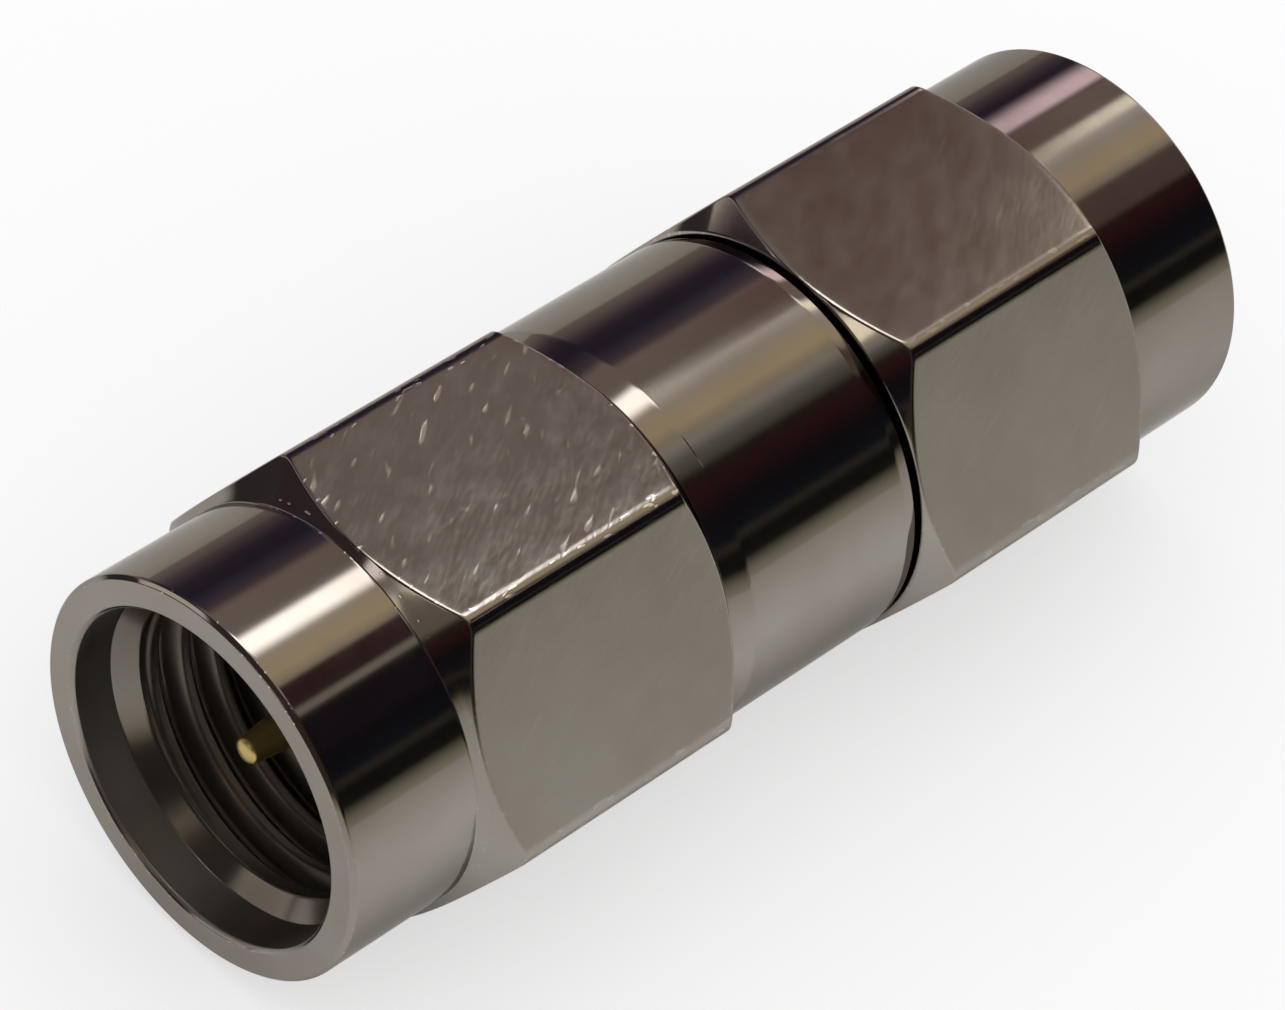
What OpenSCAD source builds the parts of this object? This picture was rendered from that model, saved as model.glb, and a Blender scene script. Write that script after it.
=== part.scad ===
// Straight coaxial adapter, plug to plug, 1/4-36 coupling nuts, 50 ohm.
// It lies along X on the hexagon flats of its two nuts: origin under its
// middle, +Z up, millimetres. Each end is written once, for +X, and mirrored.
// Pieces go together from each mouth: insulator and contact into the body,
// snap ring into the body's groove, nut over the ring, gasket last.

/* [Overall] */
// Rim to rim length
total_length = 22.2; // [20:0.1:26]
// Gap left between a nut's rear face and the barrel with the nut pushed back
nut_gap = 0.02; // [0.01:0.01:0.1]

/* [Coupling nut] */
// Whole nut, rear face to rim
nut_length = 8.7; // [7.5:0.1:9.5]
// Hexagon across its flats
hex_flats = 8; // [7.9:0.01:8.2]
// How far the rounded corners stand past the flats
corner_rise = 0.55; // [0.4:0.01:0.6]
// Hexagon's length; the rest of the nut is round
hex_length = 5.8; // [4:0.1:6.5]
// How far inside the flats the corner chamfer starts on each end face
face_drop = 0.03; // [0.01:0.01:0.2]
// Corner chamfer's slope from the end face
hex_chamfer_angle = 38; // [20:1:45]
// Wall of the round sleeve round the mouth
sleeve_wall = 0.63; // [0.4:0.01:0.7]
// Rim's outer and inner edge breaks
rim_break = 0.08; // [0.05:0.01:0.3]
// Thread's nominal size, at its roots
thread_d = 6.35; // [6.3:0.01:6.4]
// Thread's height, root to crest
thread_height = 0.345; // [0.3:0.005:0.38]
// Plain mouth inside the rim, wider than the thread by this all round
mouth_clearance = 0.025; // [0.01:0.005:0.1]
// Mouth's depth, rim to the thread's lead-in cone
mouth_depth = 0.85; // [0.6:0.05:1.5]
// Thread's end in front of the body's shaft
thread_standoff = 0.6; // [0.3:0.05:1]
// Run-out groove behind the thread, deeper than its roots by this
runout_clearance = 0.075; // [0.02:0.005:0.2]
// Run-out groove's length
runout_length = 0.65; // [0.4:0.05:1]

/* [Snap ring] */
// Ring's thickness along the axis
ring_thick = 0.5; // [0.3:0.05:0.7]
// Depth of the body's groove for it
body_groove_depth = 0.5; // [0.3:0.05:0.6]
// Depth of the nut's groove for it
nut_groove_depth = 0.35; // [0.2:0.05:0.45]
// Gap between the ring's open ends
ring_gap = 0.9; // [0.5:0.1:1.5]
// Ring's middle, from the nut's rear face
ring_depth = 1.6; // [1.2:0.1:2]
// Axial play of ring and nut on the body, each way
nut_float = 0.1; // [0.05:0.01:0.12]
// Ring's clearance to the nut's groove, each side
ring_clearance = 0.02; // [0.01:0.01:0.05]
// Ring's clearance to the bottom of each groove
ring_root_clearance = 0.05; // [0.03:0.01:0.15]

/* [Body] */
// Barrel between the nuts
barrel_d = 7.9; // [7.5:0.05:7.95]
// Barrel's end chamfer along the axis
barrel_chamfer = 0.5; // [0.2:0.05:0.8]
// Same chamfer across the axis
barrel_chamfer_drop = 0.12; // [0.05:0.01:0.4]
// Shaft in nut, radial clearance
shaft_clearance = 0.05; // [0.02:0.01:0.1]
// Wall left under the shaft's ring groove
groove_floor = 0.4; // [0.25:0.05:0.6]
// Shaft in front of its ring groove
shaft_lip = 0.55; // [0.4:0.05:0.8]
// Rim to the mating plane of the outer contact
mating_depth = 3.3; // [2.6:0.05:3.4]
// Outer contact's wall
outer_contact_wall = 0.245; // [0.2:0.005:0.3]

/* [Insulator and contact] */
// Insulator in its bore, radial clearance
insulator_clearance = 0.01; // [0.01:0.01:0.03]
// Height of the holding rib on each insulator half
rib_height = 0.3; // [0.15:0.05:0.45]
// Rib's distance from the middle
rib_start = 1; // [0.8:0.1:1.5]
// Rib's length
rib_length = 0.6; // [0.3:0.1:1]
// Insulator's face behind the mating plane
insulator_recess = 0.05; // [0:0.01:0.1]
// Centre contact inside the insulator
core_d = 1.27; // [1.2:0.01:1.3]
// Step up to the collar trapped between the insulator halves
collar_step = 0.315; // [0.2:0.005:0.45]
// Collar's whole length
collar_length = 1.2; // [0.8:0.1:2]
// Pin
pin_d = 0.92; // [0.9:0.01:0.94]
// Pin's shoulder behind the mating plane
pin_shoulder_recess = 0.1; // [0.05:0.01:0.2]
// Rim to the pin's tip
tip_depth = 1.02; // [0.8:0.01:2]
// Tip's taper along the axis
tip_taper = 0.8; // [0.3:0.05:1]
// How far the taper draws in
tip_drop = 0.26; // [0.1:0.01:0.35]

/* [Gasket] */
// Gasket in the thread's bore, radial clearance
gasket_clearance = 0.08; // [0.05:0.01:0.2]
// Gasket's wall, from the outer contact outwards
gasket_wall = 0.455; // [0.4:0.005:0.55]
// Gasket's thickness along the axis
gasket_thick = 0.8; // [0.5:0.05:1.1]
// Gasket's edge break
gasket_break = 0.1; // [0.05:0.01:0.2]

/* [Hidden] */
$fn = 96;
rim_x = total_length / 2;
nut_rear_x = rim_x - nut_length;
hex_front_x = nut_rear_x + hex_length;
hex_stock_d = hex_flats + 2 * corner_rise;
hex_face_d = hex_flats - 2 * face_drop;
hex_chamfer = (hex_stock_d - hex_face_d) / 2 * tan(hex_chamfer_angle);
thread_bore_d = thread_d - 2 * thread_height;
runout_d = thread_d + 2 * runout_clearance;
mouth_d = thread_d + 2 * mouth_clearance;
sleeve_d = mouth_d + 2 * sleeve_wall;
mouth_x = rim_x - mouth_depth;
lead_in = (mouth_d - thread_bore_d) / 2;
gasket_d = thread_bore_d - 2 * gasket_clearance;
outer_contact_d = gasket_d - 2 * gasket_wall;
body_bore_d = outer_contact_d - 2 * outer_contact_wall;
body_groove_d = body_bore_d + 2 * groove_floor;
shaft_d = body_groove_d + 2 * body_groove_depth;
rear_bore_d = shaft_d + 2 * shaft_clearance;
nut_groove_d = rear_bore_d + 2 * nut_groove_depth;
ring_hole_d = body_groove_d + 2 * ring_root_clearance;
ring_d = nut_groove_d - 2 * ring_root_clearance;
ring_x = nut_rear_x + ring_depth;
ring_half = ring_thick / 2;
nut_groove_half = ring_half + ring_clearance;
body_groove_half = ring_half + nut_float;
barrel_x = nut_rear_x - nut_float - nut_gap;
shaft_front_x = ring_x + body_groove_half + shaft_lip;
thread_end_x = shaft_front_x + thread_standoff;
runout_x = thread_end_x - runout_length;
mating_x = rim_x - mating_depth;
rib_d = body_bore_d + 2 * rib_height;
insulator_x = mating_x - insulator_recess;
insulator_d = body_bore_d - 2 * insulator_clearance;
collar_d = core_d + 2 * collar_step;
shoulder_x = mating_x - pin_shoulder_recess;
tip_x = rim_x - tip_depth;
tip_d = pin_d - 2 * tip_drop;
rear_break = 0.15;
shaft_break = 0.1;
contact_break = 0.05;
axis_z = hex_flats / 2;
over = 1;
nickel = "Gainsboro";

// stands a piece drawn along +Z on the connector's axis, pointing to +X
module along_axis() {
    translate([0, 0, axis_z]) rotate([0, 90, 0]) children();
}

module other_end() {
    mirror([1, 0, 0]) children();
}

// profile points are [radius, distance from the middle]
module turned(points) {
    rotate_extrude() polygon(points);
}

module nut_outside() {
    intersection() {
        translate([0, 0, nut_rear_x]) rotate([0, 0, 30])
            cylinder(d = hex_flats / cos(30), h = hex_length, $fn = 6);
        turned([
            [0, nut_rear_x],
            [hex_face_d / 2, nut_rear_x],
            [hex_stock_d / 2, nut_rear_x + hex_chamfer],
            [hex_stock_d / 2, hex_front_x - hex_chamfer],
            [hex_face_d / 2, hex_front_x],
            [0, hex_front_x],
        ]);
    }
    turned([
        [0, hex_front_x - over],
        [sleeve_d / 2, hex_front_x - over],
        [sleeve_d / 2, rim_x - rim_break],
        [sleeve_d / 2 - rim_break, rim_x],
        [0, rim_x],
    ]);
}

// rear bore with the ring's groove, run-out, thread's bore, lead-in and mouth
module nut_inside() {
    turned([
        [0, nut_rear_x - over],
        [rear_bore_d / 2 + rear_break + over, nut_rear_x - over],
        [rear_bore_d / 2, nut_rear_x + rear_break],
        [rear_bore_d / 2, ring_x - nut_groove_half],
        [nut_groove_d / 2, ring_x - nut_groove_half],
        [nut_groove_d / 2, ring_x + nut_groove_half],
        [rear_bore_d / 2, ring_x + nut_groove_half],
        [rear_bore_d / 2, runout_x],
        [runout_d / 2, runout_x],
        [runout_d / 2, thread_end_x],
        [thread_bore_d / 2, thread_end_x],
        [thread_bore_d / 2, mouth_x - lead_in],
        [mouth_d / 2, mouth_x],
        [mouth_d / 2, rim_x - rim_break],
        [mouth_d / 2 + rim_break + over, rim_x + over],
        [0, rim_x + over],
    ]);
}

module right_coupling_nut() {
    color(nickel) along_axis() difference() {
        nut_outside();
        nut_inside();
    }
}

module left_coupling_nut() {
    other_end() right_coupling_nut();
}

// one end of the body's outline, from the middle to the mating plane
function body_end() = [
    [barrel_d / 2, barrel_x - barrel_chamfer],
    [barrel_d / 2 - barrel_chamfer_drop, barrel_x],
    [shaft_d / 2, barrel_x],
    [shaft_d / 2, ring_x - body_groove_half],
    [body_groove_d / 2, ring_x - body_groove_half],
    [body_groove_d / 2, ring_x + body_groove_half],
    [shaft_d / 2, ring_x + body_groove_half],
    [shaft_d / 2, shaft_front_x - shaft_break],
    [shaft_d / 2 - shaft_break, shaft_front_x],
    [outer_contact_d / 2, shaft_front_x],
    [outer_contact_d / 2, mating_x - contact_break],
    [outer_contact_d / 2 - contact_break, mating_x],
    [body_bore_d / 2, mating_x],
    [body_bore_d / 2, rib_start + rib_length],
    [rib_d / 2, rib_start + rib_length],
    [rib_d / 2, rib_start],
    [body_bore_d / 2, rib_start],
];

function flipped(points) = [for (i = [len(points) - 1:-1:0]) [points[i][0], -points[i][1]]];

module body() {
    color(nickel) along_axis() turned(concat(body_end(), flipped(body_end())));
}

// open C ring, its gap at the top
module right_snap_ring() {
    color("Peru") along_axis() difference() {
        translate([0, 0, ring_x - ring_half]) difference() {
            cylinder(d = ring_d, h = ring_thick);
            translate([0, 0, -over]) cylinder(d = ring_hole_d, h = ring_thick + 2 * over);
        }
        translate([-ring_d, -ring_gap / 2, ring_x - over]) cube([ring_d, ring_gap, 2 * over]);
    }
}

module left_snap_ring() {
    other_end() right_snap_ring();
}

module right_gasket() {
    color("IndianRed") along_axis() turned([
        [outer_contact_d / 2, shaft_front_x],
        [gasket_d / 2 - gasket_break, shaft_front_x],
        [gasket_d / 2, shaft_front_x + gasket_break],
        [gasket_d / 2, shaft_front_x + gasket_thick - gasket_break],
        [gasket_d / 2 - gasket_break, shaft_front_x + gasket_thick],
        [outer_contact_d / 2, shaft_front_x + gasket_thick],
    ]);
}

module left_gasket() {
    other_end() right_gasket();
}

// half of the insulator: the collar's pocket at its inner end, a rib outside
module right_insulator() {
    color("White") along_axis() turned([
        [collar_d / 2 + insulator_clearance, 0],
        [insulator_d / 2, 0],
        [insulator_d / 2, rib_start],
        [rib_d / 2 - insulator_clearance, rib_start],
        [rib_d / 2 - insulator_clearance, rib_start + rib_length],
        [insulator_d / 2, rib_start + rib_length],
        [insulator_d / 2, insulator_x],
        [core_d / 2 + insulator_clearance, insulator_x],
        [core_d / 2 + insulator_clearance, collar_length / 2],
        [collar_d / 2 + insulator_clearance, collar_length / 2],
    ]);
}

module left_insulator() {
    other_end() right_insulator();
}

function contact_end() = [
    [0, tip_x],
    [tip_d / 2, tip_x],
    [pin_d / 2, tip_x - tip_taper],
    [pin_d / 2, shoulder_x],
    [core_d / 2, shoulder_x],
    [core_d / 2, collar_length / 2],
    [collar_d / 2, collar_length / 2],
];

module centre_contact() {
    color("Gold") along_axis() turned(concat(contact_end(), flipped(contact_end())));
}

body();
left_coupling_nut();
right_coupling_nut();
left_snap_ring();
right_snap_ring();
left_gasket();
right_gasket();
left_insulator();
right_insulator();
centre_contact();
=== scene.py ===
import math

import bpy
import numpy as np
from mathutils import Matrix, Vector


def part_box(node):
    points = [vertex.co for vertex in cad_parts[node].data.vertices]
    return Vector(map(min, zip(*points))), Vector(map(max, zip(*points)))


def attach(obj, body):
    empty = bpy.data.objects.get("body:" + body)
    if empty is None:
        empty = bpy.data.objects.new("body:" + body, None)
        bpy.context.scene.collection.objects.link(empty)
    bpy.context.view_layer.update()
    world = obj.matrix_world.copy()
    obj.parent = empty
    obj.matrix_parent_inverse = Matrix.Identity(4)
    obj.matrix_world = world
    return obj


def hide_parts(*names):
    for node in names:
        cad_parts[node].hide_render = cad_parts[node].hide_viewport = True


# A two-ended screw-coupled coaxial adapter, dressed for close viewing.
# Shapes are worked out in millimetres from the adapter's axis, and put into the meshes in metres.

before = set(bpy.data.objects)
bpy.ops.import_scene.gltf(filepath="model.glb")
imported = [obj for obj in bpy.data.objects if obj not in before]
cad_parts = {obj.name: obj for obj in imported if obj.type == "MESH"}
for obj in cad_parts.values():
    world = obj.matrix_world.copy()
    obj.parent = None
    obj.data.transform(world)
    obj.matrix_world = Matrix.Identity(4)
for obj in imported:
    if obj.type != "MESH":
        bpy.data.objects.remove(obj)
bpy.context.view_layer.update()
print("frame loaded:", len(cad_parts), "solids")

mm = 0.001
turn = 2 * math.pi


def spanX(node):
    # nearest and farthest distance of a right-hand solid from the middle, in millimetres
    low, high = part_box(node)
    return low.x / mm, high.x / mm


def radiusOf(node):
    # outside radius of a round solid, from the width of its box
    low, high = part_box(node)
    return (high.y - low.y) / 2 / mm


nutRear, rim = spanX("right_coupling_nut")
ringRear, ringFront = spanX("right_snap_ring")
gasketRear, gasketFront = spanX("right_gasket")
insulatorFront = spanX("right_insulator")[1]
matingPlane = spanX("body")[1]
pinTip = spanX("centre_contact")[1]
hexLow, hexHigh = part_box("right_coupling_nut")
axisZ = (hexLow.z + hexHigh.z) / 2 / mm
flatRadius = (hexHigh.z - hexLow.z) / 2 / mm
stockRadius = (hexHigh.y - hexLow.y) / 2 / mm


def roundedCorners(corners, reach, steps=4):
    # Each corner of a chain of points gives way to a parabola that leaves and joins its two
    # sides at the given reach from the corner: (1-t)^2 A + 2t(1-t) corner + t^2 B.
    # corners is (columns, corners, 2), and the chain is closed. No reach takes more than longestShare
    # of a side, so that two roundings never meet.
    longestShare = 0.45
    before = np.roll(corners, 1, axis=1) - corners
    after = np.roll(corners, -1, axis=1) - corners
    lengthBefore = np.linalg.norm(before, axis=2, keepdims=True) + 1e-9
    lengthAfter = np.linalg.norm(after, axis=2, keepdims=True) + 1e-9
    reach = np.broadcast_to(np.asarray(reach, float)[None, :, None], lengthBefore.shape)
    start = corners + before / lengthBefore * np.minimum(reach, lengthBefore * longestShare)
    end = corners + after / lengthAfter * np.minimum(reach, lengthAfter * longestShare)
    start, middle, end = start[:, :, None], corners[:, :, None], end[:, :, None]
    t = np.linspace(0, 1, steps + 1)[None, None, :, None]
    points = (1 - t) ** 2 * start + 2 * t * (1 - t) * middle + t ** 2 * end
    return points.reshape(corners.shape[0], -1, 2)


def aroundAxis(profile, angles, side=1):
    # profile (columns, rows, 2) holds distance from the middle and radius; each column stands
    # at its own angle: x = side * distance, y = radius * cos, z = radius * sin + axis height
    x = side * profile[..., 0]
    y = profile[..., 1] * np.cos(angles)[:, None]
    z = profile[..., 1] * np.sin(angles)[:, None] + axisZ
    return np.stack([x, y, z], axis=-1).transpose(1, 0, 2)


def gridMesh(name, points, loopRows=True, loopColumns=True, poles=None, attributes=None):
    # A grid of points (rows, columns, 3) as quads, closed round in either direction if asked,
    # with a fan to each pole, and a flat cap on open ends of a closed section.
    # Vertex normals are the sum of the neighbouring faces' area vectors, so broad faces stay flat.
    rows, columns = points.shape[:2]
    index = np.arange(rows * columns).reshape(rows, columns)
    below = np.roll(index, -1, axis=0) if loopRows else index[1:]
    here = index if loopRows else index[:-1]
    if loopColumns:
        quads = np.stack([here, np.roll(here, -1, axis=1), np.roll(below, -1, axis=1), below], axis=-1)
    else:
        quads = np.stack([here[:, :-1], here[:, 1:], below[:, 1:], below[:, :-1]], axis=-1)
    quads = quads.reshape(-1, 4)
    vertices = points.reshape(-1, 3)
    others = []
    if poles is not None:
        first, last = len(vertices), len(vertices) + 1
        vertices = np.concatenate([vertices, np.asarray(poles, float)])
        top, bottom = index[0], index[-1]
        others += np.stack([np.full(columns, first), np.roll(top, -1), top], axis=-1).tolist()
        others += np.stack([np.full(columns, last), bottom, np.roll(bottom, -1)], axis=-1).tolist()
    if not loopColumns:
        others += [index[:, 0].tolist(), index[::-1, -1].tolist()]

    corner = vertices[quads]
    area = np.cross(corner[:, 2] - corner[:, 0], corner[:, 3] - corner[:, 1]) / 2
    centre = corner.mean(axis=1)
    volume = (centre * area).sum()
    faces = quads.tolist() + others
    if volume < 0:
        faces = [face[::-1] for face in faces]
        area = -area
    normals = np.zeros_like(vertices)
    for k in range(4):
        np.add.at(normals, quads[:, k], area)
    if poles is not None:
        normals[-2:] = np.array([[-1.0, 0, 0], [1.0, 0, 0]]) * np.sign(poles[1][0] - poles[0][0])
    normals /= np.linalg.norm(normals, axis=1, keepdims=True) + 1e-12

    mesh = bpy.data.meshes.new(name)
    mesh.from_pydata((vertices * mm).tolist(), [], faces)
    mesh.polygons.foreach_set("use_smooth", np.ones(len(mesh.polygons), bool))
    mesh.update()
    mesh.normals_split_custom_set_from_vertices(normals.tolist())
    for key, values in (attributes or {}).items():
        field = mesh.attributes.new(key, "FLOAT", "POINT")
        flat = np.zeros(len(vertices), np.float32)
        flat[: rows * columns] = values.reshape(-1)
        field.data.foreach_set("value", flat)
    piece = bpy.data.objects.new(name, mesh)
    bpy.context.scene.collection.objects.link(piece)
    return piece


def dress(piece, body, node, material):
    # the piece moves with a body, stands in for one of its solids, which is hidden, and takes the given
    # material
    piece.data.materials.append(material)
    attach(piece, body)
    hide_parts(node)


class Field:
    # one output of a shader node; arithmetic on it adds Math nodes
    def __init__(self, tree, socket):
        self.tree = tree
        self.socket = socket

    def calculate(self, operation, *values):
        return self.add("ShaderNodeMath", {"operation": operation}, dict(enumerate(values)))

    def add(self, kind, settings=None, sockets=None, output=0):
        # any node: its settings first, then the values or links of its sockets
        node = self.tree.nodes.new(kind)
        for key, value in (settings or {}).items():
            if key == "stops":
                ramp = node.color_ramp
                while len(ramp.elements) > 1:
                    ramp.elements.remove(ramp.elements[-1])
                ramp.elements[0].position = value[0][0]
                for k, (place, colour) in enumerate(value):
                    stop = ramp.elements[0] if k == 0 else ramp.elements.new(place)
                    stop.color = (*colour, 1)
            else:
                setattr(node, key, value)
        for key, value in (sockets or {}).items():
            if isinstance(value, Field):
                self.tree.links.new(value.socket, node.inputs[key])
            else:
                if isinstance(value, tuple) and node.inputs[key].type == "RGBA":
                    value = (*value, 1)
                node.inputs[key].default_value = value
        return Field(self.tree, node.outputs[output] if len(node.outputs) else None)

    def output(self, key):
        return Field(self.tree, self.socket.node.outputs[key])

    def __add__(self, other):
        return self.calculate("ADD", self, other)

    def __sub__(self, other):
        return self.calculate("SUBTRACT", self, other)

    def __mul__(self, other):
        return self.calculate("MULTIPLY", self, other)

    def __truediv__(self, other):
        return self.calculate("DIVIDE", self, other)

    def __pow__(self, other):
        return self.calculate("POWER", self, other)

    def __rsub__(self, other):
        return self.calculate("SUBTRACT", other, self)

    def __rtruediv__(self, other):
        return self.calculate("DIVIDE", other, self)

    __radd__ = __add__
    __rmul__ = __mul__

    def atMost(self, other):
        return self.calculate("MINIMUM", self, other)

    def atLeast(self, other):
        return self.calculate("MAXIMUM", self, other)

    def step(self, low, high):
        # smooth step from 0 at low to 1 at high
        if low > high:
            return 1 - self.step(high, low)
        return self.add("ShaderNodeMapRange", {"interpolation_type": "SMOOTHSTEP"},
                        {"Value": self, "From Min": low, "From Max": high})

    def blend(self, first, second):
        # from the first colour where this field is 0 to the second where it is 1
        return self.add("ShaderNodeMix", {"data_type": "RGBA"}, {0: self, 6: first, 7: second}, 2)

    def vector(self, x, y, z):
        return self.add("ShaderNodeCombineXYZ", None, {0: x, 1: y, 2: z})

    def attribute(self, name):
        return self.add("ShaderNodeAttribute", {"attribute_name": name}, None, "Fac")

    def noise(self, place, scale, detail, fineShare):
        return self.add("ShaderNodeTexNoise", None,
                        {"Vector": place, "Scale": scale, "Detail": detail, "Roughness": fineShare}, "Fac")


def newTree(name):
    material = bpy.data.materials.new(name)
    material.use_nodes = True
    material.node_tree.nodes.clear()
    return material, Field(material.node_tree, None)


def finishMaterial(build, sockets, height, distance):
    bump = build.add("ShaderNodeBump", None, {"Strength": 1.0, "Distance": distance, "Height": height})
    shader = build.add("ShaderNodeBsdfPrincipled", None, {**sockets, "Normal": bump})
    build.add("ShaderNodeOutputMaterial", None, {"Surface": shader})


def roundPlace(build):
    # place on the piece: distance along the axis, radius, angle, all from Object coordinates
    place = build.add("ShaderNodeTexCoord").output("Object")
    x = build.add("ShaderNodeSeparateXYZ", None, {0: place})
    y, z = x.output("Y"), x.output("Z") - axisZ * mm
    radius = (y * y + z * z) ** 0.5
    angle = build.calculate("ARCTAN2", z, y)
    return place, x, radius, angle


micron = 0.000001

# Bright nickel. Heights and depths are in microns. A pattern holds its noise's scale, detail and share
# of finer detail; a slanted one has two scales, along its lines and across them. flatSpacing sets the
# patterns of a nut's six flats apart.
plate = {
    "colour": (0.345, 0.318, 0.286),
    "warm": (0.315, 0.28, 0.248),
    "pale": (0.375, 0.355, 0.33),
    # pale colour of scratches and nicks: partly worn metal, partly a painted glint
    "scratchesAndGlints": (0.80, 0.77, 0.73),
    # dark colour painted into the thread and bores: painted shade inside the hole
    "tapped": (0.16, 0.138, 0.113),
    "edgeTint": (0.62, 0.60, 0.58),
    "turnedRoughness": 0.085,
    "flatRoughness": 0.13,
    "dullRoughness": 0.38,
    "leastRoughness": 0.05,
    "cloudPattern": (420.0, 4.0, 0.6),
    "grimePattern": (1700.0, 4.0, 0.65),
    "grainPattern": (11000.0, 2.0, 0.6),
    "lineScale": 42000.0,
    "lineDrift": 0.8,
    "lineHeight": 0.12,
    "grainHeight": 0.12,
    "flatSpacing": 7.3,
    "dashAngle": math.radians(33),
    "mottlePattern": (1.3, 2.6, 2.0, 0.5),
    "mottleHeight": 7.5,
    "brushPattern": (2.6, 13.0, 3.0, 0.55),
    "brushHeight": 1.2,
    "dashPattern": (1.7, 7.0, 0.0, 0.5),
    "dashStep": (0.69, 0.85),
    "dashDepth": 3.0,
    "nickScales": (3000.0, 9.0),
    "nickStep": (0.60, 0.68),
    "nickDepth": 1.5,
}


def platedMetal(name, hexed):
    # turned: height = lineHeight * (lines - 1/2), where the lines are noise that is quick along the
    # profile and slow round the axis
    # flats: height = mottle + brushing + grain - dashes - nicks, where mottle, brushing and dashes are
    # noise stretched along a line that slants across each flat; scuff says how worn a flat is; dashes and
    # nicks are also painted pale, partly worn metal and partly a painted glint
    # inside: dull marks all inner faces with a rougher finish; the thread, the cone before it and the bores
    # behind it are painted darker, a painted shade for the depth of the hole
    material, build = newTree(name)
    place, x, radius, angle = roundPlace(build)
    lineScale = plate["lineScale"]
    profilePlace = build.vector(x * lineScale, radius * lineScale, angle * plate["lineDrift"])
    lines = build.noise(profilePlace, 1.0, 2.0, 0.6)
    cloud = build.noise(place, *plate["cloudPattern"])
    grime = build.noise(place, *plate["grimePattern"])
    colour = cloud.step(0.3, 0.75).blend(plate["colour"], plate["warm"])
    height = (lines - 0.5) * plate["lineHeight"]
    rough = plate["turnedRoughness"] + (grime - 0.5) * 0.06 + (lines - 0.5) * 0.04
    if hexed:
        flat, edge, scuff = build.attribute("flatFace"), build.attribute("edgeWear"), build.attribute("scuff")
        tapped, dull = build.attribute("tapped"), build.attribute("dull")
        across, apart = build.attribute("across"), build.attribute("flatNumber") * plate["flatSpacing"]
        cosine, sine = math.cos(plate["dashAngle"]), math.sin(plate["dashAngle"])
        along = x * (cosine / mm) - across * sine
        aside = x * (sine / mm) + across * cosine

        def slanted(alongScale, asideScale, detail, fineShare):
            place = build.vector(along * alongScale, aside * asideScale, apart)
            return build.noise(place, 1.0, detail, fineShare)

        glintingDashes = slanted(*plate["dashPattern"]).step(*plate["dashStep"]) * scuff
        brushed = slanted(*plate["brushPattern"])
        mottle = slanted(*plate["mottlePattern"])
        grain = build.noise(place, *plate["grainPattern"])
        nickLength, nickWidth = plate["nickScales"]
        nickPlace = build.vector(x * nickLength, across * nickWidth, apart)
        glintingNicks = build.noise(nickPlace, 1.0, 1.0, 0.4).step(*plate["nickStep"])
        glintingNicks = (glintingNicks * edge).step(0.3, 0.8) * (scuff * 0.9 + 0.1)
        flatHeight = (mottle - 0.5) * plate["mottleHeight"] + (brushed - 0.5) * plate["brushHeight"]
        flatHeight = flatHeight * (0.15 + scuff * 0.85) + (grain - 0.5) * plate["grainHeight"]
        flatHeight = flatHeight - glintingDashes * plate["dashDepth"]
        height = height * (1 - flat) + flatHeight * flat - glintingNicks * plate["nickDepth"]
        flatRough = plate["flatRoughness"] + (mottle - 0.5) * 0.08 + (brushed - 0.5) * 0.08 * scuff
        rough = rough * (1 - flat) + flatRough * flat
        rough = rough * (1 - dull) + (plate["dullRoughness"] + (grime - 0.5) * 0.2) * dull
        pale = (mottle.step(0.4, 0.7) * 0.5 + brushed.step(0.5, 0.75) * 0.5) * flat * (0.2 + scuff * 0.8)
        colour = pale.atMost(1.0).blend(colour, plate["pale"])
        # scratch dashes on the flats and nicks at the edges are painted pale: partly worn metal, partly a
        # painted glint
        colour = (glintingDashes * (flat * 0.85)).atLeast(glintingNicks).blend(colour, plate["scratchesAndGlints"])
        # painted shade: the thread, its lead-in cone and the bores behind it turn dark
        colour = tapped.blend(colour, plate["tapped"])
    sockets = {"Base Color": colour, "Metallic": 1.0, "Roughness": rough.atLeast(plate["leastRoughness"]),
               "Specular Tint": plate["edgeTint"]}
    finishMaterial(build, sockets, height, micron)
    return material


innerFinishes = {
    "gold_plate": {
        "colours": ((0.64, 0.48, 0.19), (0.52, 0.39, 0.15)), "colourStep": (0.3, 0.75),
        "clouds": (1800.0, 3.0), "lineScale": 50000.0, "height": 1 * micron, "roughness": 0.32,
        "sockets": {"Metallic": 1.0},
    },
    "fluoropolymer": {
        "colours": ((0.80, 0.79, 0.74), (0.70, 0.68, 0.62)), "colourStep": (0.3, 0.8),
        "clouds": (1200.0, 3.0), "lineScale": 24000.0, "height": 2 * micron, "roughness": 0.45,
        "sockets": {"Subsurface Weight": 0.15, "Subsurface Scale": 0.0004},
    },
    "silicone": {
        "colours": ((0.42, 0.075, 0.04), (0.33, 0.05, 0.03)), "colourStep": (0.3, 0.8),
        "clouds": (2500.0, 4.0), "lineScale": None, "height": 3 * micron, "roughness": 0.55,
        "sockets": {},
    },
    "spring_bronze": {
        "colours": ((0.55, 0.34, 0.18), (0.42, 0.25, 0.13)), "colourStep": (0.3, 0.8),
        "clouds": (1500.0, 3.0), "lineScale": 40000.0, "height": 1 * micron, "roughness": 0.3,
        "sockets": {"Metallic": 1.0},
    },
}


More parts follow.
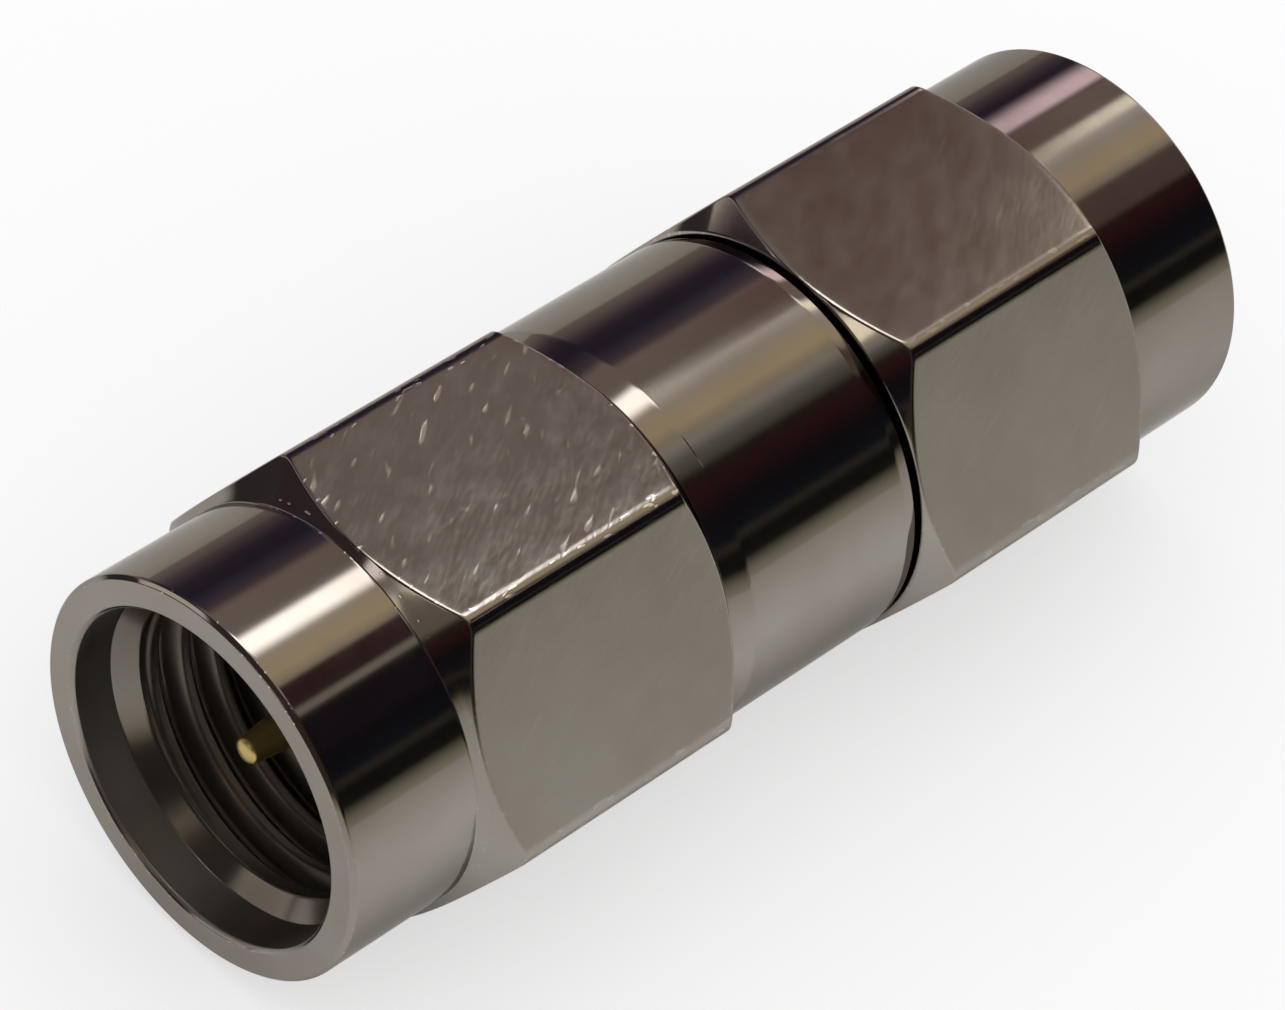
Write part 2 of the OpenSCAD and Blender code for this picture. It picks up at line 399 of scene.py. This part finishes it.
def innerFinish(name):
    # colour and roughness follow soft clouds; the height is turning lines, quick along the profile and
    # slow round the axis, or the clouds themselves on a moulded piece
    look = innerFinishes[name]
    material, build = newTree(name)
    place, x, radius, angle = roundPlace(build)
    scale, detail = look["clouds"]
    cloud = build.noise(place, scale, detail, 0.6)
    colour = cloud.step(*look["colourStep"]).blend(*look["colours"])
    height = cloud
    if look["lineScale"]:
        profilePlace = build.vector(x * look["lineScale"], radius * look["lineScale"], angle)
        height = build.noise(profilePlace, 1.0, 2.0, 0.6)
    sockets = {"Base Color": colour, "Roughness": look["roughness"] + (cloud - 0.5) * 0.2}
    finishMaterial(build, {**sockets, **look["sockets"]}, height, look["height"])
    return material


nutFinish = platedMetal("nickel_nut", True)
bodyFinish = platedMetal("nickel_body", False)
goldFinish = innerFinish("gold_plate")
insulatorFinish = innerFinish("fluoropolymer")
gasketFinish = innerFinish("silicone")
springFinish = innerFinish("spring_bronze")
print("finishes made")

nut = {
    "hexLength": 5.8,
    "faceRadius": flatRadius - 0.03,
    "chamferSlope": math.tan(math.radians(38)),
    "sleeveRadius": 3.83,
    "mouthRadius": 3.2,
    "mouthDepth": 0.85,
    "rimBreak": 0.08,
    "mouthEdge": ((-0.02, 0), (-0.004, 0.002), (0.015, 0.016)),
    "threadRoot": 3.175,
    "threadCrest": 2.83,
    "threadPitch": 25.4 / 36,
    "flankAngle": math.radians(30),
    "crestFlat": 0.2,
    "crestRounding": 0.05,
    "threadEnd": gasketRear + 0.6,
    "threadFade": 0.35,
    "rowsPerPitch": 22,
    "runOutStart": gasketRear - 0.05,
    "runOutRadius": 3.25,
    "rearBore": 3.0,
    "rearBreak": 0.15,
    "ringGroove": 3.35,
    "ringPlay": 0.02,
    "edgeRounding": 0.03,
    "rimRounding": 0.02,
    "flatEndRounding": 0.048,
    "rearRounding": 0.05,
    "cornerRounding": 0.07,
    "sleeveFillet": 0.11,
    "crown": 0.014,
    # degrees from a corner at which columns stand, and shares of a flat's length for rows
    "cornerOffsets": (0, 0.3, 0.6, 0.9, 1.2, 1.5, 1.8, 2.1, 2.4, 2.7, 3.0, 3.4, 4, 5, 7.5, 10, 12.5,
                      15, 17.5, 20, 22.5, 25, 27.5, 30),
    "flatRows": (0.02, 0.05, 0.1, 0.2, 0.35, 0.5, 0.65, 0.8, 0.9, 0.95, 0.98),
    # wear: how scuffed each flat is by side, counted from +Y towards +Z; from how many degrees off a
    # corner a flat's marks begin and are full, and its worn border begins; wear over a rounding's rows
    "scuffs": {-1: (0.15, 1.0, 0.04, 0.5, 0.3, 0.15), 1: (0.2, 0.06, 0.04, 0.15, 0.6, 0.2)},
    "flatBegins": (1.2, 2.7),
    "borderBegins": 2.4,
    "borderWidth": 0.08,
    "roundingWear": (0, 0.6, 1, 0.6, 0),
    # the lead-in cone's share of the painted shade inside, and of the dull finish
    "coneMarks": {"tapped": 0.75, "dull": 0.3},
}


def softLimit(a, b, width):
    # the smaller of a and b, with the crossing rounded over the given width
    h = np.clip(0.5 + 0.5 * (b - a) / width, 0, 1)
    return b * (1 - h) + a * h - width * h * (1 - h)


def threadRadius(x, angle):
    # Right-hand 60 degree thread: with w the axial distance from the middle of a crest,
    # the radius is the crest's, plus (w - half the crest's flat) / tan 30, up to the root's
    pitch = nut["threadPitch"]
    phase = (x / pitch - angle / turn) % 1.0
    w = np.abs(phase - 0.5) * pitch
    rise = (w - nut["crestFlat"] / 2) / math.tan(nut["flankAngle"])
    rise = softLimit(rise, nut["threadRoot"] - nut["threadCrest"], nut["crestRounding"])
    return nut["threadCrest"] - softLimit(-rise, 0.0, nut["crestRounding"])


def nutShape(side):
    # Each column is the nut's section at its own angle round the axis. A flat lies at
    # (flatRadius - crown * (1 - share)^2) / cos(angle from the flat's middle), where share grows from
    # 0 at the corner to 1 at the flat's middle; corners are turned down to the stock's radius, and
    # both ends are chamfered by a cone: setback = (radius - faceRadius) * chamferSlope.
    offsets = np.array(nut["cornerOffsets"], float)
    sector = np.sort(np.concatenate([-offsets[1:-1], offsets]))
    degrees = (np.arange(6)[:, None] * 60 + sector[None, :]).reshape(-1)
    fromCorner = np.abs((degrees + 30) % 60 - 30)
    angles = np.radians(degrees)
    columns = len(angles)

    share = fromCorner / 30
    flat = (flatRadius - nut["crown"] * (1 - share) ** 2) / np.cos(np.radians(30 - fromCorner))
    outer = softLimit(flat, stockRadius, nut["cornerRounding"])
    face = nut["faceRadius"]
    setback = (outer - face) * nut["chamferSlope"]
    hexFront = nutRear + nut["hexLength"]
    front, rear = hexFront - setback, nutRear + setback
    sleeve, mouth, bore = nut["sleeveRadius"], nut["mouthRadius"], nut["rearBore"]
    groove, runOut = nut["ringGroove"], nut["runOutRadius"]
    grooveRear, grooveFront = ringRear - nut["ringPlay"], ringFront + nut["ringPlay"]
    rimBreak, rearBreak = nut["rimBreak"], nut["rearBreak"]
    rimRound, edge, flatEnd = nut["rimRounding"], nut["edgeRounding"], nut["flatEndRounding"]

    # the section's corners and how far each is rounded, from the rim back over the outside, and
    # forward again along the inside as far as the thread
    chain = [
        (rim, mouth + rimBreak, rimRound),
        (rim, sleeve - rimBreak, rimRound),
        (rim - rimBreak, sleeve, edge),
        (hexFront + nut["sleeveFillet"], sleeve, edge),
        (hexFront, face, edge),
        (front, outer, flatEnd),
        (rear, outer, flatEnd),
        (nutRear, face, nut["rearRounding"]),
        (nutRear, bore + rearBreak, edge),
        (nutRear + rearBreak, bore, edge),
        (grooveRear, bore, edge),
        (grooveRear, groove, edge),
        (grooveFront, groove, edge),
        (grooveFront, bore, edge),
        (nut["runOutStart"], bore, edge),
        (nut["runOutStart"], runOut, edge),
        (nut["threadEnd"], runOut, edge),
    ]
    ones = np.ones(columns)

    def corner(x, r):
        return np.stack([x * ones, r * ones], axis=-1)[:, None]

    # the chain closes through the thread, so its ends are given their true neighbours
    threadStart = corner(nut["threadEnd"], threadRadius(side * nut["threadEnd"], angles))
    rimInside = corner(rim - rimBreak, mouth)
    padded = np.concatenate([rimInside] + [corner(x, r) for x, r, _ in chain] + [threadStart], axis=1)
    steps = 4
    rounded = roundedCorners(padded, [0.0] + [reach for _, _, reach in chain] + [0.0], steps)
    rounded = rounded.reshape(columns, -1, steps + 1, 2)[:, 1:-1].reshape(columns, -1, 2)

    # thread, lead-in and mouth: the thread's groove dies out behind the lead-in's cone
    leadEnd = rim - nut["mouthDepth"]
    leadStart = leadEnd - (mouth - nut["threadCrest"])
    count = int((leadEnd - nut["threadEnd"]) / nut["threadPitch"] * nut["rowsPerPitch"])
    grid = np.broadcast_to(np.linspace(nut["threadEnd"], leadEnd, count)[None, :], (columns, count))
    fade = np.clip((leadStart - grid) / nut["threadFade"], 0, 1)
    fade = fade * fade * (3 - 2 * fade)
    radius = threadRadius(side * grid, angles[:, None])
    radius = nut["threadCrest"] + (radius - nut["threadCrest"]) * fade
    cone = mouth - (leadEnd - grid)
    radius = np.minimum(np.maximum(radius, cone), mouth)
    thread = np.stack([grid, radius], axis=-1)
    mouthRows = [corner(rim - rimBreak + x, mouth + r) for x, r in nut["mouthEdge"]]
    profile = np.concatenate([rounded, thread] + mouthRows, axis=1)

    # extra rows on the flats, behind the chain's corner at their front end, so that wear near their
    # ends can be told from their middles
    flatCorner = 5
    rowsPerCorner = steps + 1
    cut = (flatCorner + 1) * rowsPerCorner
    shares = np.array(nut["flatRows"])[None, :, None]
    a, b = profile[:, cut - 1:cut], profile[:, cut:cut + 1]
    profile = np.concatenate([profile[:, :cut], a * (1 - shares) + b * shares, profile[:, cut:]], axis=1)

    rows = profile.shape[1]
    rowNumber = np.arange(rows)[None, :]
    flatEndRow = cut + len(nut["flatRows"])
    onHex = (rowNumber >= cut - 1) & (rowNumber <= flatEndRow)
    begins, full = nut["flatBegins"]
    flatFace = onHex * np.clip((fromCorner[:, None] - begins) / (full - begins), 0, 1)
    toEnds = np.minimum(front[:, None] - profile[..., 0], profile[..., 0] - rear[:, None])
    toCorner = np.radians(np.maximum(fromCorner - nut["borderBegins"], 0))[:, None] * stockRadius
    edgeWear = np.exp(-np.minimum(np.maximum(toEnds, 0), toCorner) / nut["borderWidth"]) * onHex
    rounding = np.array(nut["roundingWear"] * len(chain))
    worn = np.zeros(rows)
    worn[:cut] = rounding[:cut]
    worn[flatEndRow:flatEndRow + len(rounding) - cut] = rounding[cut:]
    edgeWear = np.maximum(edgeWear, worn[None, :])

    everyRow = np.ones((1, rows))
    across = flatRadius * np.tan(np.radians((degrees % 60) - 30))[:, None] * everyRow
    flatNumber = (np.floor(degrees / 60) % 6)[:, None] * everyRow
    scuff = np.array(nut["scuffs"][side])[flatNumber.astype(int)]
    inside = rowNumber > flatEndRow + 2 * rowsPerCorner
    onCone = (profile[..., 0] > leadStart) & (profile[..., 1] < mouth - 0.004)
    # painted shade inside: full on the thread and bores, part way on the lead-in cone
    tapped = inside * np.where(profile[..., 0] < leadStart, 1.0, onCone * nut["coneMarks"]["tapped"])
    dull = inside * np.where(onCone, nut["coneMarks"]["dull"], 1.0)
    marks = {"flatFace": flatFace, "edgeWear": edgeWear, "across": across, "flatNumber": flatNumber,
             "scuff": scuff, "tapped": tapped, "dull": dull}
    return profile, angles, {key: values.T for key, values in marks.items()}


sides = (("left", -1), ("right", 1))
for sideName, side in sides:
    profile, angles, marks = nutShape(side)
    piece = gridMesh(sideName + "_nut_dressed", aroundAxis(profile, angles, side), attributes=marks)
    dress(piece, sideName + "_nut", sideName + "_coupling_nut", nutFinish)
print("coupling nuts made")


def turned(name, chain, columns, side=1):
    # a closed section carried once round the axis; chain holds the distance from the middle, the
    # radius and the rounding of each of its corners
    corners = np.array([(x, r) for x, r, _ in chain], float)[None]
    rounded = roundedCorners(corners, [reach for _, _, reach in chain])
    angles = np.linspace(0, turn, columns, endpoint=False)
    profile = np.broadcast_to(rounded, (columns,) + rounded.shape[1:])
    return gridMesh(name, aroundAxis(profile, angles, side))


core = {
    "barrelRadius": radiusOf("body"),
    "barrelEnd": nutRear - 0.12,
    "leftChamfer": (0.5, 0.12),
    "rightChamfer": (0.25, 0.035),
    "shaftRadius": 2.95,
    "shaftBreak": 0.1,
    "grooveRadius": 2.45,
    "groovePlay": 0.105,
    "contactRadius": 2.295,
    "contactBreak": 0.05,
    "boreRadius": 2.05,
    "ribGroove": (1.0, 1.6, 2.35),
    "innerRounding": 0.01,
    "contactRounding": 0.015,
    "shaftRounding": 0.02,
    "chamferRounding": (0.03, 0.04),
    "columns": 192,
}


def bodyHalf(chamfer):
    # section from the insulator's rib out to the contact and back along the shaft to the barrel
    ribRear, ribFront, ribRadius = core["ribGroove"]
    bore, shaft = core["boreRadius"], core["shaftRadius"]
    groove, barrel = core["grooveRadius"], core["barrelRadius"]
    outside, contactBreak, shaftBreak = core["contactRadius"], core["contactBreak"], core["shaftBreak"]
    grooveFront, grooveRear = ringFront + core["groovePlay"], ringRear - core["groovePlay"]
    inner, mating, edge = core["innerRounding"], core["contactRounding"], core["shaftRounding"]
    barrelEnd = core["barrelEnd"]
    return [
        (ribRear, bore, inner),
        (ribRear, ribRadius, inner),
        (ribFront, ribRadius, inner),
        (ribFront, bore, inner),
        (matingPlane, bore, mating),
        (matingPlane, outside - contactBreak, mating),
        (matingPlane - contactBreak, outside, mating),
        (gasketRear, outside, edge),
        (gasketRear, shaft - shaftBreak, edge),
        (gasketRear - shaftBreak, shaft, edge),
        (grooveFront, shaft, edge),
        (grooveFront, groove, edge),
        (grooveRear, groove, edge),
        (grooveRear, shaft, edge),
        (barrelEnd, shaft, edge),
        (barrelEnd, barrel - chamfer[1], core["chamferRounding"][0]),
        (barrelEnd - chamfer[0], barrel, core["chamferRounding"][1]),
    ]


bodySection = bodyHalf(core["rightChamfer"])
bodySection += [(-x, r, reach) for x, r, reach in bodyHalf(core["leftChamfer"])[::-1]]
dress(turned("body_dressed", bodySection, core["columns"]), "core", "body", bodyFinish)

insulator = {"radius": 2.04, "rib": (1.0, 1.6, 2.34), "hole": 0.645, "pocket": (0.6, 0.96),
             "rounding": 0.01, "frontRounding": 0.03, "holeRounding": 0.02, "columns": 128}


def insulatorShape(sideName, side):
    # half an insulator: a sleeve with a rib on its outside, and a pocket for the contact's collar
    ribRear, ribFront, ribRadius = insulator["rib"]
    pocketEnd, pocketRadius = insulator["pocket"]
    radius, hole, rounding = insulator["radius"], insulator["hole"], insulator["rounding"]
    chain = [
        (0, pocketRadius, rounding),
        (0, radius, rounding),
        (ribRear, radius, rounding),
        (ribRear, ribRadius, rounding),
        (ribFront, ribRadius, rounding),
        (ribFront, radius, rounding),
        (insulatorFront, radius, insulator["frontRounding"]),
        (insulatorFront, hole, insulator["holeRounding"]),
        (pocketEnd, hole, rounding),
        (pocketEnd, pocketRadius, rounding),
    ]
    return turned(sideName + "_insulator_dressed", chain, insulator["columns"], side)


gasket = {"radius": radiusOf("right_gasket"), "rearRounding": 0.02, "outerRounding": 0.12,
          "frontRounding": 0.04, "columns": 128}


def gasketShape(sideName, side):
    # a flat ring on the outer contact, with its outer edges well rounded
    inner, outer = core["contactRadius"], gasket["radius"]
    chain = [
        (gasketRear, inner, gasket["rearRounding"]),
        (gasketRear, outer, gasket["outerRounding"]),
        (gasketFront, outer, gasket["outerRounding"]),
        (gasketFront, inner, gasket["frontRounding"]),
    ]
    return turned(sideName + "_gasket_dressed", chain, gasket["columns"], side)


for sideName, side in sides:
    dress(insulatorShape(sideName, side), "core", sideName + "_insulator", insulatorFinish)
    dress(gasketShape(sideName, side), "core", sideName + "_gasket", gasketFinish)

contact = {"pinRadius": 0.46, "tipRadius": 0.24, "taper": 1.8, "bend": 0.12, "nose": 0.11,
           "coreRadius": 0.635, "shoulder": 7.7, "shoulderBreak": 0.03, "collar": (0.6, 0.95), "columns": 96}


def contactShape():
    # The half outline, mirrored end to end: collar, core, shoulder, pin and taper. With t from 0 to 1
    # the pin bends into its taper by x = bendStart - bend (1-t)^2 + bend t^2, radius = pin - slope bend t^2;
    # the tip is a quarter ellipse, and each end closes in a pole.
    collarEnd, collarRadius = contact["collar"]
    shoulder, shoulderBreak, coreRadius = contact["shoulder"], contact["shoulderBreak"], contact["coreRadius"]
    pin, bend, nose = contact["pinRadius"], contact["bend"], contact["nose"]
    taperStart = pinTip - contact["taper"]
    slope = (pin - contact["tipRadius"]) / contact["taper"]
    points = [
        (collarEnd, collarRadius),
        (collarEnd, coreRadius),
        (shoulder - shoulderBreak, coreRadius),
        (shoulder, coreRadius - shoulderBreak),
        (shoulder, pin),
        (taperStart - bend, pin),
    ]
    t = np.linspace(0, 1, 7)[1:]
    bent = np.stack([taperStart - bend * (1 - t) ** 2 + bend * t ** 2, pin - slope * bend * t ** 2], axis=-1)
    q = np.linspace(0, math.pi / 2, 9)[:-1]
    noseRadius = contact["tipRadius"] + slope * nose
    tip = np.stack([pinTip - nose + nose * np.sin(q), noseRadius * np.cos(q)], axis=-1)
    outline = np.concatenate([points, bent, tip])
    whole = np.concatenate([outline[::-1] * [-1, 1], outline])
    angles = np.linspace(0, turn, contact["columns"], endpoint=False)
    profile = np.broadcast_to(whole[None], (len(angles),) + whole.shape)
    ends = [(-pinTip, 0, axisZ), (pinTip, 0, axisZ)]
    return gridMesh("centre_contact_dressed", aroundAxis(profile, angles), loopRows=False, poles=ends)


dress(contactShape(), "core", "centre_contact", goldFinish)

snapRing = {"inner": 2.5, "outer": 3.3, "gap": 0.9, "rounding": 0.05, "columns": 121}


def snapRingShape(sideName, side):
    # a rounded square section carried round the axis from one side of the gap to the other
    chain = np.array([(ringRear, snapRing["inner"]), (ringRear, snapRing["outer"]),
                      (ringFront, snapRing["outer"]), (ringFront, snapRing["inner"])], float)[None]
    section = roundedCorners(chain, [snapRing["rounding"]] * 4, 3)
    halfGap = snapRing["gap"] / 2 / snapRing["outer"]
    angles = math.pi / 2 + np.linspace(halfGap, turn - halfGap, snapRing["columns"])
    profile = np.broadcast_to(section, (len(angles),) + section.shape[1:])
    return gridMesh(sideName + "_snap_ring_dressed", aroundAxis(profile, angles, side), loopColumns=False)


for sideName, side in sides:
    dress(snapRingShape(sideName, side), sideName + "_ring", sideName + "_snap_ring",
          springFinish)
print("body, contact, insulators, gaskets and rings made")

# In metres. farColour and backColour are seen only in mirrored light: the floor darkens from fadeStart
# outwards, half way at a further fadeDistance, and turns to backColour behind the left end, where
# backStart and backFull are the places (x, y) at which that begins and is complete.
floorLook = {
    "radius": 0.9,
    "columns": 96,
    "rings": 24,
    "ringGrowth": 2.5,
    "drop": 0.00001,
    "colour": (0.98, 0.98, 0.98),
    "farColour": (0.54, 0.525, 0.49),
    "fadeStart": 0.011,
    "fadeDistance": 0.015,
    "whiteShare": 0.55,
    "backColour": (0.06, 0.05, 0.055),
    "backStart": (-0.005, 0.018),
    "backFull": (-0.011, 0.026),
}


def floorDisc():
    # rings of points on a plane, closer together near the middle: radius * share ^ ringGrowth
    columns = floorLook["columns"]
    rings = floorLook["radius"] * np.linspace(0, 1, floorLook["rings"])[1:] ** floorLook["ringGrowth"]
    angles = np.linspace(0, turn, columns, endpoint=False)
    x = rings[:, None] * np.cos(angles)[None]
    y = rings[:, None] * np.sin(angles)[None]
    vertices = np.stack([x, y, np.full_like(x, -floorLook["drop"])], axis=-1).reshape(-1, 3)
    index = np.arange(len(vertices)).reshape(len(rings), columns)
    here, there = index[:-1], index[1:]
    faces = np.stack([here, there, np.roll(there, -1, axis=1), np.roll(here, -1, axis=1)], axis=-1)
    mesh = bpy.data.meshes.new("floor")
    mesh.from_pydata(vertices.tolist(), [], faces.reshape(-1, 4).tolist() + [index[0].tolist()])
    piece = bpy.data.objects.new("floor", mesh)
    bpy.context.scene.collection.objects.link(piece)
    # white paper: the camera sees it with a soft shadow, mirrored light sees it fall off
    material, build = newTree("floor_paper")
    place = build.add("ShaderNodeTexCoord").output("Object")
    fibre = build.noise(place, 900.0, 3.0, 0.5)
    away = build.add("ShaderNodeVectorMath", {"operation": "LENGTH"}, {0: place}, "Value")
    rays = build.add("ShaderNodeLightPath")
    camera, glossy = rays.output("Is Camera Ray"), rays.output("Is Glossy Ray")
    beyond = (away - floorLook["fadeStart"]).atLeast(0.0)
    faded = glossy * (beyond / (beyond + floorLook["fadeDistance"]))
    colour = faded.blend(floorLook["colour"], floorLook["farColour"])
    x = build.add("ShaderNodeSeparateXYZ", None, {0: place})
    (startX, startY), (fullX, fullY) = floorLook["backStart"], floorLook["backFull"]
    back = x.step(startX, fullX) * x.output("Y").step(startY, fullY)
    colour = (back * glossy).blend(colour, floorLook["backColour"])
    bump = build.add("ShaderNodeBump", None, {"Strength": 0.1, "Distance": 0.00002, "Height": fibre})
    paper = build.add("ShaderNodeBsdfPrincipled", None, {
        "Base Color": colour, "Roughness": 1.0, "Normal": bump, "Specular IOR Level": 0.0})
    white = build.add("ShaderNodeEmission", None, {"Color": (1.0, 1.0, 1.0), "Strength": 1.0})
    mixed = build.add("ShaderNodeMixShader", None, {0: camera * floorLook["whiteShare"], 1: paper, 2: white})
    build.add("ShaderNodeOutputMaterial", None, {"Surface": mixed})
    piece.data.materials.append(material)


floorDisc()

# What the metal mirrors round the axis, by the angle in degrees above the far horizon: 90 is overhead,
# 180 the near horizon.
studioBands = (
    (0, (0.33, 0.27, 0.26)), (7, (0.24, 0.19, 0.19)), (14, (0.11, 0.08, 0.11)),
    (20, (0.055, 0.035, 0.06)), (30, (0.03, 0.026, 0.055)), (38, (0.07, 0.06, 0.09)),
    (43, (0.12, 0.085, 0.105)), (48, (0.34, 0.26, 0.24)), (62, (0.30, 0.26, 0.24)),
    (67, (0.50, 0.46, 0.44)), (72, (0.80, 0.74, 0.70)), (78, (0.62, 0.56, 0.50)),
    (86, (0.70, 0.58, 0.42)), (93, (0.74, 0.60, 0.40)), (98, (0.50, 0.44, 0.34)),
    (103, (0.48, 0.45, 0.42)), (109, (0.22, 0.21, 0.20)), (115, (0.13, 0.12, 0.10)),
    (119, (0.03, 0.02, 0.015)), (126, (0.045, 0.012, 0.012)), (140, (0.008, 0.006, 0.010)),
    (153, (0.008, 0.009, 0.016)), (157, (0.05, 0.046, 0.038)), (161, (0.010, 0.009, 0.009)),
    (169, (0.010, 0.009, 0.007)), (175, (0.29, 0.27, 0.21)), (180, (0.44, 0.415, 0.345)),
)
# Brighter or darker fields of it: the four angles, and the four shares of x, at which a field starts, is
# full, is full and ends, then its colour, then by how much its place on x leans for each degree.
studioFields = (
    ((64.5, 69.5, 75, 82), (-0.3, -0.2, 0.54, 0.56), (3.3, 3.25, 3.2), 0.0),
    ((98, 101, 110, 112), (0.40, 0.45, 0.53, 0.55), (0.05, 0.02, 0.02), 0.0),
    ((112, 114, 116, 118), (0.40, 0.45, 0.53, 0.55), (0.36, 0.32, 0.29), 0.0),
    ((60, 65, 68, 73), (0.630, 0.641, 1.0, 1.1), (2.1, 2.0, 1.7), 0.0),
    ((98, 103, 117, 122), (0.605, 0.62, 1.0, 1.1), (0.15, 0.105, 0.095), 0.0),
    ((118, 121, 136, 140), (0.40, 0.45, 0.54, 0.56), (0.015, 0.01, 0.018), 0.0),
    ((23, 37, 41, 46), (0.615, 0.63, 1.0, 1.1), (1.6, 1.25, 1.38), 0.0),
    ((45, 49, 68, 72), (0.58, 0.59, 0.625, 0.635), (0.20, 0.11, 0.10), 0.0),
    ((-5, -1, 34, 40), (-0.49, -0.475, -0.40, -0.35), (0.9, 0.87, 0.8), 0.0077),
    ((-5, -1, 36, 44), (-0.68, -0.65, -0.52, -0.495), (0.06, 0.04, 0.05), 0.0077),
    ((35, 41, 168, 174), (-0.896, -0.886, -0.45, -0.35), (0.06, 0.045, 0.04), 0.0),
    ((60, 66, 112, 118), (-1.1, -1.05, -0.935, -0.925), (0.25, 0.21, 0.18), 0.0),
    ((44, 47, 55, 59), (-0.94, -0.93, -0.878, -0.865), (1.9, 1.7, 1.8), 0.0),
    ((68, 84, 97, 101), (-0.934, -0.926, -0.894, -0.884), (2.2, 2.05, 1.7), 0.0),
)


def studioWorld():
    # camera rays see white, mirrored rays the bands and fields, and the rest a plain level of 1
    world = bpy.data.worlds.new("studio")
    bpy.context.scene.world = world
    world.use_nodes = True
    world.node_tree.nodes.clear()
    build = Field(world.node_tree, None)
    direction = build.add("ShaderNodeTexCoord").output("Generated")
    x = build.add("ShaderNodeSeparateXYZ", None, {0: direction})
    angle = build.calculate("ARCTAN2", x.output("Z").atLeast(0.0), x.output("Y")) * (180 / math.pi)
    stops = [(band / 180, colour) for band, colour in studioBands]
    seen = build.add("ShaderNodeValToRGB", {"stops": stops}, {0: angle / 180})
    for angles, along, colour, lean in studioFields:
        mask = 1.0
        for value, (start, full, stillFull, end) in ((angle, angles), (x + angle * lean, along)):
            mask = value.step(start, full) * value.step(end, stillFull) * mask
        seen = mask.blend(seen, colour)
    rays = build.add("ShaderNodeLightPath")
    camera, glossy = rays.output("Is Camera Ray"), rays.output("Is Glossy Ray")
    plain = build.add("ShaderNodeBackground", None, {"Color": (1.0, 1.0, 1.0), "Strength": 1.0})
    mirrored = build.add("ShaderNodeBackground", None, {"Color": seen, "Strength": 1.0})
    shown = build.add("ShaderNodeBackground", None, {"Color": (1.0, 1.0, 1.0), "Strength": 1.0})
    mixed = build.add("ShaderNodeMixShader", None, {0: glossy, 1: plain, 2: mirrored})
    mixed = build.add("ShaderNodeMixShader", None, {0: camera, 1: mixed, 2: shown})
    build.add("ShaderNodeOutputWorld", None, {"Surface": mixed})


studioWorld()

# In millimetres and degrees; azimuth is turned from +X towards +Y.
viewpoint = {
    "target": (-0.562, 0.022, 4.0),
    "distance": 102.04,
    "azimuth": -145.05,
    "elevation": 47.06,
    "roll": 14.58,
    "fieldOfView": 12.708,
}


def makeCamera():
    # the camera looks at the target from its azimuth and elevation, and is then rolled
    azimuth, elevation = math.radians(viewpoint["azimuth"]), math.radians(viewpoint["elevation"])
    back = Vector((math.cos(azimuth) * math.cos(elevation), math.sin(azimuth) * math.cos(elevation),
                   math.sin(elevation)))
    level = Vector((0, 0, 1)).cross(back).normalized()
    upright = back.cross(level)
    roll = math.radians(viewpoint["roll"])
    right = level * math.cos(roll) + upright * math.sin(roll)
    up = back.cross(right)
    data = bpy.data.cameras.new("camera")
    data.sensor_fit = "HORIZONTAL"
    data.sensor_width = 36
    data.lens = data.sensor_width / 2 / math.tan(math.radians(viewpoint["fieldOfView"]) / 2)
    data.clip_start, data.clip_end = 0.005, 5
    camera = bpy.data.objects.new("camera", data)
    camera.location = (Vector(viewpoint["target"]) + back * viewpoint["distance"]) * mm
    camera.rotation_mode = "QUATERNION"
    camera.rotation_quaternion = Matrix((right, up, back)).transposed().to_quaternion()
    bpy.context.scene.collection.objects.link(camera)
    bpy.context.scene.camera = camera


makeCamera()
bpy.context.scene.view_settings.view_transform = "Standard"
print("stage set")
